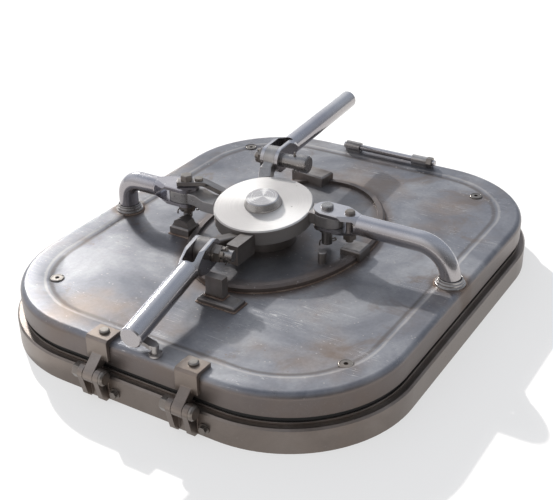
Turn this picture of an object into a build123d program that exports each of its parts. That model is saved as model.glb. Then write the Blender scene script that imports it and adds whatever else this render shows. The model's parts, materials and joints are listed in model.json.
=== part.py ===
from build123d import *
from math import cos, radians, sin
import os

# A hinged manway cover on its welded neck ring.  The origin is the middle of the cover,
# on the underside of the neck ring, with X along the hinge edge, Y towards the back, Z up.

# cover pan
lid_width = 508.0
lid_depth = 618.0
lid_corner = 147.5
lid_top = 69.8
lid_skirt_bottom = 41.0
lid_plate = 7.0
lid_skirt_wall = 3.5
lid_edge_fillet = 8.0
border_width = 30.0
border_slope = 8.0
panel_drop = 2.0

# neck ring
ring_overhang = 7.6
ring_height = 31.0
ring_wall = 7.0
ring_flange = 9.0
ring_flange_width = 18.0
ring_edge_chamfer = 2.2
lip_height = 3.0
lip_width = 2.0
lip_clearance = 0.6

# gasket and what backs it
gasket_width = 7.0
gasket_height = 15.0
gasket_gap = 0.3
ledge_height = 3.0
brace_width = 46.0
brace_height = 6.0
brace_side_inset = 66.0
brace_end_inset = 83.0

# corner screws
screw_insets = [(-1, -1, 69.0, 81.0), (1, -1, 50.0, 99.0), (1, 1, 85.0, 71.0), (-1, 1, 56.0, 81.0)]
screw_shank = 8.0
screw_head = 13.0
screw_cup = 17.8
screw_hole_clearance = 0.3

# hub
hub_x = -18.0
hub_y = -20.0
base_x = -2.0
base_y = 14.0
base_width = 230.0
base_depth = 328.0
base_height = 5.0
base_rim_width = 10.0
base_rim_height = 9.0
base_rim_chamfer = 3.0
hub_radius = 64.0
hub_height = 20.0
hub_top = 121.9
hub_tilt = 8.0
button_radius = 24.5
button_top_radius = 19.5
button_height = 10.0
drum_radius = 42.0
spindle_radius = 14.0
turn_gap = 0.3
shaft_gap = 0.08
seat_gap = 0.1

# round bars with forked ends
bar_radius = 13.0
fork_end_radius = 17.0
fork_slot = 15.6
fork_slot_length = 43.5
fork_taper_length = 46.0
lug_gap = 0.3
pin_radius = 6.9
pin_hole_radius = 7.0
lug_slot_radius = 9.0
lug_slot_in = 2.0
lug_slot_out = 10.0
bar_height = 115.5

# side cranks
right_pin = (65.0, -2.0)
right_gland_inset = 21.0
right_leg_straight = 5.4
left_pin = (-127.0, -35.0)
left_gland_inset = 27.0
left_bend = 24.0
leg_radius = 10.0
foot_radius = 6.0
leg_step = 48.0
dog_bottom = 9.0
dog_thickness = 11.0
dog_width = 14.0
right_dog_length = 56.0
left_dog_length = 48.0
dog_boss_radius = 9.4
gland_radii = [18.5, 16.4, 15.0]
gland_step = 3.4
stop_bolt_reach = 32.0
stop_bolt_radius = 5.0

# lifting handles
front_pin = Vector(-22, -144, 111)
front_end = Vector(4, -319, 96)
back_pin = Vector(-58, 72, 140)
back_end = Vector(-76, 316, 141)

# hinge
hinge_places = [-51.0, 70.0]
hinge_width = 29.0
hinge_out = 16.0
hinge_z = 34.0
knuckle_radius = 9.2
strap_thickness = 5.0
strap_reach = 22.0
ear_width = 7.2
hinge_pin_radius = 5.0

# grab rail
grab_inset = 16.0
grab_left = -52.0
grab_right = 58.0
grab_bar_radius = 4.5
grab_boss_radius = 7.0
grab_boss_length = 24.0

# values that follow from the sizes above
panel_top = lid_top - panel_drop
plate_under = lid_top - lid_plate
base_top = panel_top + base_height
rim_top = panel_top + base_rim_height
ring_width = lid_width + 2 * ring_overhang
ring_depth = lid_depth + 2 * ring_overhang
ring_corner = lid_corner + ring_overhang
lug_height = fork_slot - 2 * lug_gap
prong_top = bar_height + bar_radius
prong_under = bar_height - bar_radius
lid_front = -lid_depth / 2
lid_back = lid_depth / 2
lid_right = lid_width / 2
lid_left = -lid_width / 2
hinge_y = lid_front - hinge_out
grab_y = lid_back - grab_inset
brace_x = lid_right - brace_side_inset
brace_y = lid_back - brace_end_inset
right_gland_x = lid_right - right_gland_inset
left_gland_x = lid_left + left_gland_inset
screw_places = [(sx * (lid_right - ix), sy * (lid_back - iy)) for sx, sy, ix, iy in screw_insets]
ring_front = -ring_depth / 2
ledge_bottom = ring_height + gasket_gap + gasket_height


def ring_outline(inset, mode=Mode.ADD):
    """Rounded outline of the neck ring, moved inwards by inset."""
    RectangleRounded(ring_width - 2 * inset, ring_depth - 2 * inset, ring_corner - inset, mode=mode)


def lid_outline(inset, mode=Mode.ADD):
    """Rounded outline of the cover, moved inwards by inset."""
    RectangleRounded(lid_width - 2 * inset, lid_depth - 2 * inset, lid_corner - inset, mode=mode)


def band(outline, bottom, height, outer, inner):
    """A closed band between two insets of one outline."""
    with BuildSketch(Plane.XY.offset(bottom)) as shape:
        outline(outer)
        outline(inner, Mode.SUBTRACT)
    extrude(shape.sketch, amount=height)


def disc(plane, radius, height, mode=Mode.ADD):
    """A round plate that grows from a plane along its normal."""
    with BuildSketch(plane) as shape:
        Circle(radius)
    extrude(shape.sketch, amount=height, mode=mode)


def bore(plane, radius, height):
    """A round hole that grows from a plane along its normal."""
    disc(plane, radius, height, Mode.SUBTRACT)


def hexagon(plane, across_flats, height, turn=0):
    """A hexagonal head or nut that grows from a plane along its normal."""
    with BuildSketch(plane) as shape:
        RegularPolygon(across_flats / 2, 6, major_radius=False, rotation=turn)
    extrude(shape.sketch, amount=height)


def profile(plane, points, depth, mode=Mode.ADD):
    """A flat outline on a plane, thickened along its normal."""
    with BuildSketch(plane) as shape:
        with BuildLine():
            Polyline(*points, close=True)
        make_face()
    extrude(shape.sketch, amount=depth, mode=mode)


def level(x, y, z):
    """The level plane through a point."""
    return Plane(origin=(x, y, z), z_dir=(0, 0, 1))


def facing_right(x, y=0, z=0):
    """The upright plane across X, its own axes along Y and Z."""
    return Plane(origin=(x, y, z), x_dir=(0, 1, 0), z_dir=(1, 0, 0))


def finish(part, name):
    """Name a finished piece and write it."""
    part.label = name
    export_step(part, f"parts/{name}.step")


os.makedirs("parts", exist_ok=True)

# ---------------------------------------------------------------- neck ring

flange_bottom = ring_height - ring_flange

with BuildPart() as wall:
    band(ring_outline, 0, flange_bottom, 0, ring_wall)
finish(wall.part, "neck_wall")

with BuildPart() as flange:
    with BuildSketch(Plane.XY.offset(flange_bottom)):
        ring_outline(0)
    extrude(amount=ring_flange)
    chamfer(flange.faces().sort_by(Axis.Z)[-1].edges(), ring_edge_chamfer)
    with BuildSketch(Plane.XY.offset(flange_bottom)):
        ring_outline(ring_flange_width)
    extrude(amount=ring_flange, mode=Mode.SUBTRACT)
finish(flange.part, "neck_flange")

lip_inset = ring_overhang + lid_skirt_wall - lip_clearance - lip_width
with BuildPart() as lip:
    band(ring_outline, ring_height, lip_height, lip_inset, lip_inset + lip_width)
finish(lip.part, "ring_lip")

# ---------------------------------------------------------------- cover pan

gland_places = [(left_gland_x, left_pin[1]), (right_gland_x, right_pin[1])]

with BuildPart() as lid:
    with BuildSketch(Plane.XY.offset(lid_skirt_bottom)):
        lid_outline(0)
    extrude(amount=lid_top - lid_skirt_bottom)
    fillet(lid.faces().sort_by(Axis.Z)[-1].edges(), lid_edge_fillet)
    with BuildSketch(Plane.XY.offset(lid_skirt_bottom)):
        lid_outline(lid_skirt_wall)
    extrude(amount=plate_under - lid_skirt_bottom, mode=Mode.SUBTRACT)
    with BuildSketch(Plane.XY.offset(lid_top)):
        lid_outline(border_width)
    with BuildSketch(Plane.XY.offset(panel_top)):
        lid_outline(border_width + border_slope)
    loft(mode=Mode.SUBTRACT)
    for x, y in screw_places:
        bore(level(x, y, panel_top), screw_cup / 2 + seat_gap, lid_plate)
        bore(level(x, y, plate_under), screw_shank / 2 + screw_hole_clearance, lid_plate)
    bore(level(hub_x, hub_y, plate_under), spindle_radius + shaft_gap, lid_plate)
    for x, y in gland_places:
        bore(level(x, y, panel_top), gland_radii[0] + seat_gap, lid_plate)
        bore(level(x, y, plate_under), leg_radius + shaft_gap, lid_plate)
finish(lid.part, "cover_pan")

ledge_inner = lid_skirt_wall + gasket_width
with BuildPart() as ledge:
    band(lid_outline, ledge_bottom, ledge_height, lid_skirt_wall, ledge_inner)
finish(ledge.part, "gasket_ledge")

with BuildPart() as gasket:
    band(lid_outline, ring_height + gasket_gap, gasket_height, lid_skirt_wall, ledge_inner)
finish(gasket.part, "gasket")

brace_bottom = plate_under - brace_height
brace_outer_corner = 40.0
brace_inner_corner = 12.0
with BuildPart() as brace:
    with BuildSketch(Plane.XY.offset(brace_bottom)):
        RectangleRounded(2 * brace_x + brace_width, 2 * brace_y + brace_width, brace_outer_corner)
        RectangleRounded(2 * brace_x - brace_width, 2 * brace_y - brace_width, brace_inner_corner,
                         mode=Mode.SUBTRACT)
    extrude(amount=brace_height)
    for x, y in screw_places:
        bore(level(x, y, brace_bottom), screw_shank / 2 + screw_hole_clearance, brace_height)
finish(brace.part, "brace_frame")

# ---------------------------------------------------------------- corner screws

cup_height = 1.6
cup_bore = 6.6
screw_sink = 0.3
socket_flats = 5.0
nut_height = 6.5
nut_flats = 13.0

with BuildPart() as cups:
    for x, y in screw_places:
        disc(level(x, y, panel_top), screw_cup / 2, cup_height)
    chamfer(cups.edges().group_by(Axis.Z)[-1], 0.8)
    for x, y in screw_places:
        bore(level(x, y, panel_top), cup_bore, cup_height)
finish(cups.part, "screw_cups")

with BuildPart() as screws:
    for x, y in screw_places:
        disc(level(x, y, panel_top), screw_head / 2, cup_height - screw_sink)
        disc(level(x, y, brace_bottom - nut_height - 2), screw_shank / 2, panel_top - brace_bottom + nut_height + 2)
    for x, y in screw_places:
        with BuildSketch(level(x, y, panel_top - 1.5)):
            RegularPolygon(socket_flats / 2, 6, major_radius=False)
        extrude(amount=4, mode=Mode.SUBTRACT)
finish(screws.part, "corner_screws")

with BuildPart() as nuts:
    for x, y in screw_places:
        hexagon(level(x, y, brace_bottom - nut_height), nut_flats, nut_height)
    for x, y in screw_places:
        bore(level(x, y, brace_bottom - nut_height), screw_shank / 2 + shaft_gap, nut_height)
finish(nuts.part, "corner_nuts")

# ---------------------------------------------------------------- base disc and the rests on the cover

block_places = [
    # centre x, centre y, width, depth, top, turn in degrees
    (-121.0, -52.0, 30.0, 25.0, 80.0, 0.0),
    (102.0, 4.0, 28.0, 28.0, 82.0, 0.0),
    (20.0, -174.0, 52.0, 24.0, 74.5, 0.0),
    (-52.0, 165.0, 54.0, 27.0, 87.0, -8.0),
]
block_chamfer = 2.0

with BuildPart() as base:
    with BuildSketch(Plane.XY.offset(panel_top)):
        with Locations((base_x, base_y)):
            Ellipse(base_width / 2, base_depth / 2)
    extrude(amount=base_rim_height)
    chamfer(base.edges().group_by(Axis.Z)[-1], base_rim_chamfer)
    with BuildSketch(Plane.XY.offset(base_top)):
        with Locations((base_x, base_y)):
            Ellipse(base_width / 2 - base_rim_width, base_depth / 2 - base_rim_width)
    extrude(amount=base_rim_height, mode=Mode.SUBTRACT)
    bore(level(hub_x, hub_y, panel_top), spindle_radius + shaft_gap, base_height)
    for x, y, width, depth, top, turn in block_places:
        with BuildSketch(level(x, y, panel_top)):
            Rectangle(width + 2 * seat_gap, depth + 2 * seat_gap, rotation=turn)
        extrude(amount=base_rim_height, mode=Mode.SUBTRACT)
finish(base.part, "base_disc")

with BuildPart() as blocks:
    for x, y, width, depth, top, turn in block_places:
        with BuildSketch(level(x, y, panel_top)):
            Rectangle(width, depth, rotation=turn)
        extrude(amount=top - panel_top)
    for block in blocks.solids():
        chamfer(block.edges().group_by(Axis.Z)[-1], block_chamfer)
finish(blocks.part, "rest_blocks")

pillar_radius = 5.5
post_plate_width = 24.0
post_plate_depth = 11.0
post_plate_top = 101.0
wedge_points = [(-13, 0), (13, 0), (9, 7.5), (-4, 9.5), (-10, 6)]
with BuildPart() as pillars:
    disc(level(79, -39, base_top), pillar_radius, 15)
    chamfer(pillars.edges().group_by(Axis.Z)[-1], 1.0)
    with BuildSketch(level(13, -172, block_places[2][4])) as upright:
        Rectangle(post_plate_width, post_plate_depth)
    extrude(upright.sketch, amount=post_plate_top - block_places[2][4])
    profile(Plane(origin=(-121, -44, 80), x_dir=(1, 0, 0), z_dir=(0, -1, 0)), wedge_points, 16)
finish(pillars.part, "rest_pillars")

# ---------------------------------------------------------------- hub

hub_normal = Vector(0, -sin(radians(hub_tilt)), cos(radians(hub_tilt)))
hub_face = Plane(origin=(hub_x, hub_y, hub_top), x_dir=(1, 0, 0), z_dir=hub_normal)
hub_back_face = hub_face.offset(-hub_height)
hub_axis = Axis(hub_face.origin, hub_normal)

with BuildPart() as hub_disc:
    disc(hub_back_face, hub_radius, hub_height)
    chamfer(hub_disc.edges().sort_by(hub_axis)[-1], 1.6)
finish(hub_disc.part, "hub_disc")

button_side = Plane(origin=hub_face.origin, x_dir=(1, 0, 0), z_dir=-hub_face.y_dir)
with BuildPart() as button:
    with BuildSketch(button_side):
        with BuildLine():
            Polyline((0, 0), (button_radius, 0), (button_radius, 1), (button_top_radius + 1.5, button_height - 1),
                     (button_top_radius, button_height), (0, button_height), close=True)
        make_face()
    revolve(axis=hub_axis)
finish(button.part, "hub_button")

drum_bottom = base_top + turn_gap
spindle_end = 44.0
with BuildPart() as drum:
    disc(level(hub_x, hub_y, drum_bottom), drum_radius, hub_top - drum_bottom)
    split(bisect_by=hub_back_face, keep=Keep.BOTTOM)
    disc(level(hub_x, hub_y, spindle_end), spindle_radius, drum_bottom - spindle_end)
finish(drum.part, "hub_drum")

washer_height = 3.0
washer_radius = 24.0
spindle_nut_height = 12.0
spindle_nut_flats = 41.0
washer_bottom = plate_under - turn_gap - washer_height
with BuildPart() as spindle_washer:
    disc(level(hub_x, hub_y, washer_bottom), washer_radius, washer_height)
    bore(level(hub_x, hub_y, washer_bottom), spindle_radius + shaft_gap, washer_height)
finish(spindle_washer.part, "spindle_washer")

with BuildPart() as spindle_nut:
    hexagon(level(hub_x, hub_y, washer_bottom - spindle_nut_height), spindle_nut_flats, spindle_nut_height)
    bore(level(hub_x, hub_y, washer_bottom - spindle_nut_height), spindle_radius + shaft_gap, spindle_nut_height)
finish(spindle_nut.part, "spindle_nut")

# ---------------------------------------------------------------- lugs on the hub


def clear_of_hub():
    """Cut the hub disc and its drum out of an arm that meets them."""
    disc(hub_back_face.offset(-seat_gap), hub_radius + seat_gap, hub_height + 20, Mode.SUBTRACT)
    disc(level(hub_x, hub_y, drum_bottom), drum_radius + seat_gap, hub_top - drum_bottom, Mode.SUBTRACT)


def side_lug(pin, outward, arm, width):
    """A level eye with a slotted hole, on an arm drawn in the upright plane along X."""
    with BuildSketch(level(pin[0], pin[1], bar_height - lug_height / 2)) as eye:
        Circle(fork_end_radius)
        with Locations((outward * lug_eye_shift / 2, 0)):
            Rectangle(lug_eye_shift, 2 * fork_end_radius)
        with Locations((outward * lug_eye_shift, 0)):
            Circle(fork_end_radius)
    extrude(eye.sketch, amount=lug_height)
    profile(Plane(origin=(0, pin[1] + width / 2, 0), x_dir=(1, 0, 0), z_dir=(0, -1, 0)), arm, width)
    clear_of_hub()
    with BuildSketch(level(pin[0], pin[1], prong_under)) as slot:
        with Locations((outward * (lug_slot_out - lug_slot_in) / 2, 0)):
            SlotCenterToCenter(lug_slot_out + lug_slot_in, 2 * lug_slot_radius)
    extrude(slot.sketch, amount=2 * bar_radius, mode=Mode.SUBTRACT)


lug_eye_shift = 7.0
lug_top = bar_height + lug_height / 2
lug_under = bar_height - lug_height / 2
right_arm = [(60, lug_under), (60, lug_top), (30, lug_top), (30, lug_under)]
with BuildPart() as right_lug:
    side_lug(right_pin, 1, right_arm, 26)
finish(right_lug.part, "right_lug")

left_arm = [(-121, lug_top), (-106, lug_top), (-93, 118), (-40, 118), (-40, 103), (-96, 103),
            (-106, lug_under), (-121, lug_under)]
with BuildPart() as left_lug:
    side_lug(left_pin, -1, left_arm, 26)
finish(left_lug.part, "left_lug")

front_along = Vector(front_end.X - front_pin.X, front_end.Y - front_pin.Y, 0).normalized()
front_axis = Vector(-front_along.Y, front_along.X, 0)
back_along = Vector(back_end.X - back_pin.X, back_end.Y - back_pin.Y, 0).normalized()
back_axis = Vector(back_along.Y, -back_along.X, 0)


def arm_length(start, end, axis, width, high, overrun=0):
    """One straight square length of an arm."""
    run = end - start
    with BuildSketch(Plane(origin=start, x_dir=axis, z_dir=run.normalized())) as section:
        RectangleRounded(width, high, 2)
    extrude(section.sketch, amount=run.length + overrun)


def lift_lug(pin, axis, knee, root, high):
    """An upright eye about a level pin, on an arm with one knee that ends in the hub."""
    across = Plane(origin=pin - axis * (lug_height / 2), x_dir=(0, 0, 1), z_dir=axis)
    disc(across, fork_end_radius, lug_height)
    arm_length(pin, knee, axis, lug_height, high, 2)
    arm_length(knee, root, axis, lug_height + 2, high)
    clear_of_hub()
    bore(across.offset(-bar_radius), pin_hole_radius, 3 * bar_radius)


front_knee = front_pin - front_along * 20 + Vector(0, 0, -4)
front_root = Vector(-14, -60, 93)
front_block_top = 110.0
with BuildPart() as front_lug:
    lift_lug(front_pin, front_axis, front_knee, front_root, 17)
    with BuildSketch(level(-2, -97, 84)) as block:
        Rectangle(16, 38)
    extrude(block.sketch, amount=front_block_top - 84)
    clear_of_hub()
finish(front_lug.part, "front_lug")

back_knee = back_pin - back_along * 22 + Vector(0, 0, -10)
back_root = Vector(-48, 32.5, 117.5)
with BuildPart() as back_lug:
    lift_lug(back_pin, back_axis, back_knee, back_root, 16)
finish(back_lug.part, "back_lug")

strap_points = [Vector(-137, -41, 132.2), Vector(-107, -24, 132.2), Vector(-80, -8.7, 115)]
with BuildPart() as keeper:
    with BuildLine() as route:
        FilletPolyline(*strap_points, radius=12)
    with BuildSketch(Plane(origin=route.line @ 0, x_dir=(0.57, -0.82, 0), z_dir=route.line % 0)):
        Rectangle(15, 6)
    sweep(path=route.line)
    clear_of_hub()
finish(keeper.part, "keeper_strap")

with BuildPart() as keeper_screws:
    hexagon(level(-126, -35, 135.3), 14, 8)
    disc(level(-112, -27, 135.3), 5.5, 3.5)
    chamfer(keeper_screws.edges().group_by(Axis.Z)[-1], 0.8)
finish(keeper_screws.part, "keeper_screws")

# ---------------------------------------------------------------- forked bars

fork_cone_start = 22.0
fork_edge = 1.5


def fork_end(frame):
    """A forked end on the frame's origin: bar along its X, pin hole along its Z."""
    with BuildSketch(frame.offset(-bar_radius)) as cheeks:
        Circle(fork_end_radius)
        with Locations((fork_taper_length / 2, 0)):
            Rectangle(fork_taper_length, 2 * fork_end_radius)
    extrude(cheeks.sketch, amount=2 * bar_radius)
    side = Plane(origin=frame.origin, x_dir=frame.x_dir, z_dir=-frame.y_dir)
    with BuildSketch(side) as turned:
        with BuildLine():
            Polyline((-20, 0), (-20, 15), (-14, 20.6), (fork_cone_start, 20.6),
                     (fork_taper_length, bar_radius - 0.2), (fork_taper_length, 0), close=True)
        make_face()
    revolve(turned.sketch, axis=Axis(frame.origin, frame.x_dir), mode=Mode.INTERSECT)
    with BuildSketch(side.offset(-2 * bar_radius)) as slot:
        with Locations((fork_slot_length / 2 - 10, 0)):
            RectangleRounded(fork_slot_length + 20, fork_slot, 4)
    extrude(slot.sketch, amount=4 * bar_radius, mode=Mode.SUBTRACT)
    bore(frame.offset(-2 * bar_radius), pin_hole_radius, 4 * bar_radius)


def straight_bar(frame, length):
    """The round bar of a lifting handle, with a softened flat end."""
    start = Plane(origin=frame.origin + frame.x_dir * (fork_taper_length - 0.4), z_dir=frame.x_dir)
    disc(start, bar_radius, length - fork_taper_length + 0.4)


def bent_bar(frame, gland_x, pin, bend):
    """The round bar of a side crank: level, bent down into its gland, stepped to the foot."""
    start = frame.origin + frame.x_dir * (fork_taper_length - 0.4)
    with BuildLine() as route:
        FilletPolyline(start, (gland_x, pin[1], bar_height), (gland_x, pin[1], leg_shoulder), radius=bend)
    with BuildSketch(Plane(origin=route.line @ 0, z_dir=frame.x_dir)) as section:
        Circle(bar_radius)
    sweep(section.sketch, path=route.line)
    disc(level(gland_x, pin[1], leg_step), leg_radius, leg_shoulder - leg_step)
    disc(level(gland_x, pin[1], dog_bottom), foot_radius, leg_step - dog_bottom)


leg_shoulder = panel_top + turn_gap
handle_end_chamfer = 1.5
right_frame = Plane(origin=(right_pin[0], right_pin[1], bar_height), x_dir=(1, 0, 0), z_dir=(0, 0, 1))
left_frame = Plane(origin=(left_pin[0], left_pin[1], bar_height), x_dir=(-1, 0, 0), z_dir=(0, 0, 1))
front_frame = Plane(origin=front_pin, x_dir=(front_end - front_pin).normalized(), z_dir=front_axis)
back_frame = Plane(origin=back_pin, x_dir=(back_end - back_pin).normalized(), z_dir=back_axis)

with BuildPart() as right_bar:
    fork_end(right_frame)
    bent_bar(right_frame, right_gland_x, right_pin, bar_height - leg_shoulder - right_leg_straight)
    bore(level(right_pin[0] + stop_bolt_reach, right_pin[1], prong_under - 5), stop_bolt_radius + seat_gap, 40)
finish(right_bar.part, "right_bar")

with BuildPart() as left_bar:
    fork_end(left_frame)
    bent_bar(left_frame, left_gland_x, left_pin, left_bend)
finish(left_bar.part, "left_bar")

with BuildPart() as front_handle:
    fork_end(front_frame)
    straight_bar(front_frame, (front_end - front_pin).length)
    chamfer(front_handle.edges().sort_by(Axis(front_pin, front_frame.x_dir))[-1], handle_end_chamfer)
finish(front_handle.part, "front_handle")

with BuildPart() as back_handle:
    fork_end(back_frame)
    straight_bar(back_frame, (back_end - back_pin).length)
    chamfer(back_handle.edges().sort_by(Axis(back_pin, back_frame.x_dir))[-1], handle_end_chamfer)
finish(back_handle.part, "back_handle")

# ---------------------------------------------------------------- pins, nuts and collars

castle_slot = 3.0
right_pin_reach = 23.5
right_pin_head = 4.5
left_pin_reach = 11.5
stop_bolt_tail = 12.5
stop_bolt_head = 6.5


def castle_nut(plane, radius, height, hole):
    """A round-crowned nut with slots across its outer face."""
    hexagon(plane, 2 * radius * cos(radians(30)), height * 0.6)
    disc(plane, radius * 0.84, height)
    bore(plane, hole, height)
    for turn in (0, 60, 120):
        with BuildSketch(plane.offset(height * 0.7)) as slots:
            Rectangle(castle_slot, 3 * radius, rotation=turn)
        extrude(slots.sketch, amount=height, mode=Mode.SUBTRACT)


with BuildPart() as right_pin_part:
    disc(level(*right_pin, prong_under - right_pin_reach), pin_radius, 2 * bar_radius + right_pin_reach)
    disc(level(*right_pin, prong_top), 8.0, right_pin_head)
    chamfer(right_pin_part.edges().group_by(Axis.Z)[-1], 1.2)
finish(right_pin_part.part, "right_pin")

with BuildPart() as right_collar:
    disc(level(*right_pin, prong_under - 6), 10.0, 6)
    bore(level(*right_pin, prong_under - 6), pin_radius + shaft_gap, 6)
finish(right_collar.part, "right_collar")

with BuildPart() as right_bolt:
    place = level(right_pin[0] + stop_bolt_reach, right_pin[1], prong_under - stop_bolt_tail)
    disc(place, stop_bolt_radius, 2 * bar_radius + stop_bolt_tail)
    disc(place.offset(2 * bar_radius + stop_bolt_tail), stop_bolt_head, 4)
    chamfer(right_bolt.edges().group_by(Axis.Z)[-1], 1.6)
finish(right_bolt.part, "right_stop_bolt")

with BuildPart() as right_bolt_nut:
    place = level(right_pin[0] + stop_bolt_reach, right_pin[1], prong_under - 8)
    hexagon(place, 16, 8)
    bore(place, stop_bolt_radius + shaft_gap, 8)
finish(right_bolt_nut.part, "right_stop_nut")

with BuildPart() as left_pin_part:
    disc(level(*left_pin, prong_under - left_pin_reach), pin_radius, 2 * bar_radius + left_pin_reach)
finish(left_pin_part.part, "left_pin")

with BuildPart() as left_pin_nut:
    under = Plane(origin=(*left_pin, prong_under), x_dir=(1, 0, 0), z_dir=(0, 0, -1))
    castle_nut(under, 12.0, 10, pin_radius + shaft_gap)
finish(left_pin_nut.part, "left_pin_nut")

front_across = Plane(origin=front_pin, x_dir=(0, 0, 1), z_dir=front_axis)
back_across = Plane(origin=back_pin, x_dir=(0, 0, 1), z_dir=back_axis)
cheek = bar_radius

with BuildPart() as front_pin_part:
    disc(front_across.offset(-cheek - 6), 9.0, 6)
    disc(front_across.offset(-cheek - 1), pin_radius, 2 * cheek + 26)
finish(front_pin_part.part, "front_pin")

with BuildPart() as front_washer:
    disc(front_across.offset(cheek), 11.0, 3)
    bore(front_across.offset(cheek), pin_radius + shaft_gap, 3)
finish(front_washer.part, "front_washer")

with BuildPart() as front_nut:
    castle_nut(front_across.offset(cheek + 3), 11.5, 12, pin_radius + shaft_gap)
finish(front_nut.part, "front_pin_nut")

with BuildPart() as back_pin_part:
    disc(back_across.offset(-cheek - 12), pin_radius, 2 * cheek + 12)
    disc(back_across.offset(cheek), 9.5, 25)
    disc(back_across.offset(cheek + 25), 12.0, 14)
    chamfer(back_pin_part.edges().sort_by(Axis(back_pin, back_axis))[-1], 1.5)
    bore(Plane(origin=back_pin + back_axis * (cheek + 18) - Vector(0, 0, 20), z_dir=(0, 0, 1)), 2.2, 40)
finish(back_pin_part.part, "back_pin")

with BuildPart() as back_nut:
    out = Plane(origin=back_pin - back_axis * cheek, x_dir=(0, 0, 1), z_dir=-back_axis)
    castle_nut(out, 11.5, 11, pin_radius + shaft_gap)
finish(back_nut.part, "back_pin_nut")

# ---------------------------------------------------------------- glands and dogs

gland_bore = 13.6
gland_nut_height = 8.0
gland_nut_radius = 15.0

with BuildPart() as glands:
    for x, y in gland_places:
        for i, radius in enumerate(gland_radii):
            disc(level(x, y, panel_top + i * gland_step), radius, gland_step)
    for x, y in gland_places:
        bore(level(x, y, panel_top), gland_bore, 4 * gland_step)
finish(glands.part, "glands")

with BuildPart() as gland_nuts:
    for x, y in gland_places:
        hexagon(level(x, y, plate_under - gland_nut_height), 2 * gland_nut_radius * cos(radians(30)),
                gland_nut_height, 30)
    for x, y in gland_places:
        bore(level(x, y, plate_under - gland_nut_height), leg_radius + shaft_gap, gland_nut_height)
finish(gland_nuts.part, "gland_nuts")

dog_edge = 1.5


def dog(x, y, towards, length):
    """A flat finger on the foot of a crank, pointing along Y."""
    with BuildSketch(level(x, y, dog_bottom)) as shape:
        Circle(dog_boss_radius)
        with Locations((0, towards * length / 2)):
            Rectangle(dog_width, length)
    extrude(shape.sketch, amount=dog_thickness)


def dog_nut(x, y):
    """The nut that holds a dog on its foot."""
    place = level(x, y, dog_bottom + dog_thickness)
    hexagon(place, 18, 10, 0)
    bore(place, foot_radius + shaft_gap, 10)


with BuildPart() as right_dog:
    dog(*gland_places[1], -1, right_dog_length)
    chamfer(right_dog.edges().group_by(Axis.Z)[-1], dog_edge)
    bore(level(*gland_places[1], dog_bottom), foot_radius + shaft_gap, dog_thickness)
finish(right_dog.part, "right_dog")

with BuildPart() as left_dog:
    dog(*gland_places[0], 1, left_dog_length)
    chamfer(left_dog.edges().group_by(Axis.Z)[-1], dog_edge)
    bore(level(*gland_places[0], dog_bottom), foot_radius + shaft_gap, dog_thickness)
finish(left_dog.part, "left_dog")

with BuildPart() as right_dog_nut:
    dog_nut(*gland_places[1])
finish(right_dog_nut.part, "right_dog_nut")

with BuildPart() as left_dog_nut:
    dog_nut(*gland_places[0])
finish(left_dog_nut.part, "left_dog_nut")

# ---------------------------------------------------------------- hinge

knuckle_half = 7.0
hinge_side_gap = 0.4
ear_foot = 1.0
ear_points = [(ring_front, 27), (ring_front, ear_foot), (ring_front - 6, ear_foot), (ring_front - 11, 6),
              (hinge_y - knuckle_radius, hinge_z), (hinge_y, hinge_z)]
plate_points = [(ring_front, 22), (ring_front, ear_foot), (ring_front - 4, ear_foot), (ring_front - 4, 22)]

with BuildPart() as ears:
    for x in hinge_places:
        for side in (x - knuckle_half - hinge_side_gap - ear_width, x + knuckle_half + hinge_side_gap):
            disc(facing_right(side, hinge_y, hinge_z), knuckle_radius, ear_width)
            profile(facing_right(side), ear_points, ear_width)
        span = knuckle_half + hinge_side_gap + 1
        profile(facing_right(x - span), plate_points, 2 * span)
    for x in hinge_places:
        bore(facing_right(x - 20, hinge_y, hinge_z), hinge_pin_radius + shaft_gap, 40)
finish(ears.part, "hinge_ears")

strap_top = lid_top + strap_thickness
strap_out = lid_front - strap_thickness
strap_points = [(lid_front + strap_reach, lid_top), (lid_front + strap_reach, strap_top),
                (strap_out + 3, strap_top), (strap_out, strap_top - 3), (strap_out, 48),
                (lid_front, 48), (lid_front, lid_top - 4.6), (lid_front + 4.6, lid_top)]
web_points = [(lid_front, 52), (strap_out, 55), (hinge_y - 6.5, hinge_z + 6.5), (hinge_y, hinge_z),
              (hinge_y + 7, hinge_z + 4), (lid_front, 43)]
strap_hole_y = lid_front + 11.0

with BuildPart() as straps:
    for x in hinge_places:
        profile(facing_right(x - hinge_width / 2), strap_points, hinge_width)
        profile(facing_right(x - knuckle_half), web_points, 2 * knuckle_half)
        disc(facing_right(x - knuckle_half, hinge_y, hinge_z), knuckle_radius, 2 * knuckle_half)
    for x in hinge_places:
        bore(facing_right(x - 20, hinge_y, hinge_z), hinge_pin_radius + shaft_gap, 40)
finish(straps.part, "hinge_straps")

with BuildPart() as hinge_pins:
    for x in hinge_places:
        head = x + knuckle_half + hinge_side_gap + ear_width
        disc(facing_right(x - 25, hinge_y, hinge_z), hinge_pin_radius, head - x + 25)
        disc(facing_right(head, hinge_y, hinge_z), 8.75, 4.6)
        chamfer(hinge_pins.edges().group_by(Axis.X)[-1], 1.8)
finish(hinge_pins.part, "hinge_pins")

with BuildPart() as hinge_nuts:
    for x in hinge_places:
        place = facing_right(x - knuckle_half - hinge_side_gap - ear_width - 8, hinge_y, hinge_z)
        hexagon(place, 16, 8)
    for x in hinge_places:
        place = facing_right(x - knuckle_half - hinge_side_gap - ear_width - 8, hinge_y, hinge_z)
        bore(place, hinge_pin_radius + shaft_gap, 8)
finish(hinge_nuts.part, "hinge_nuts")

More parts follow.
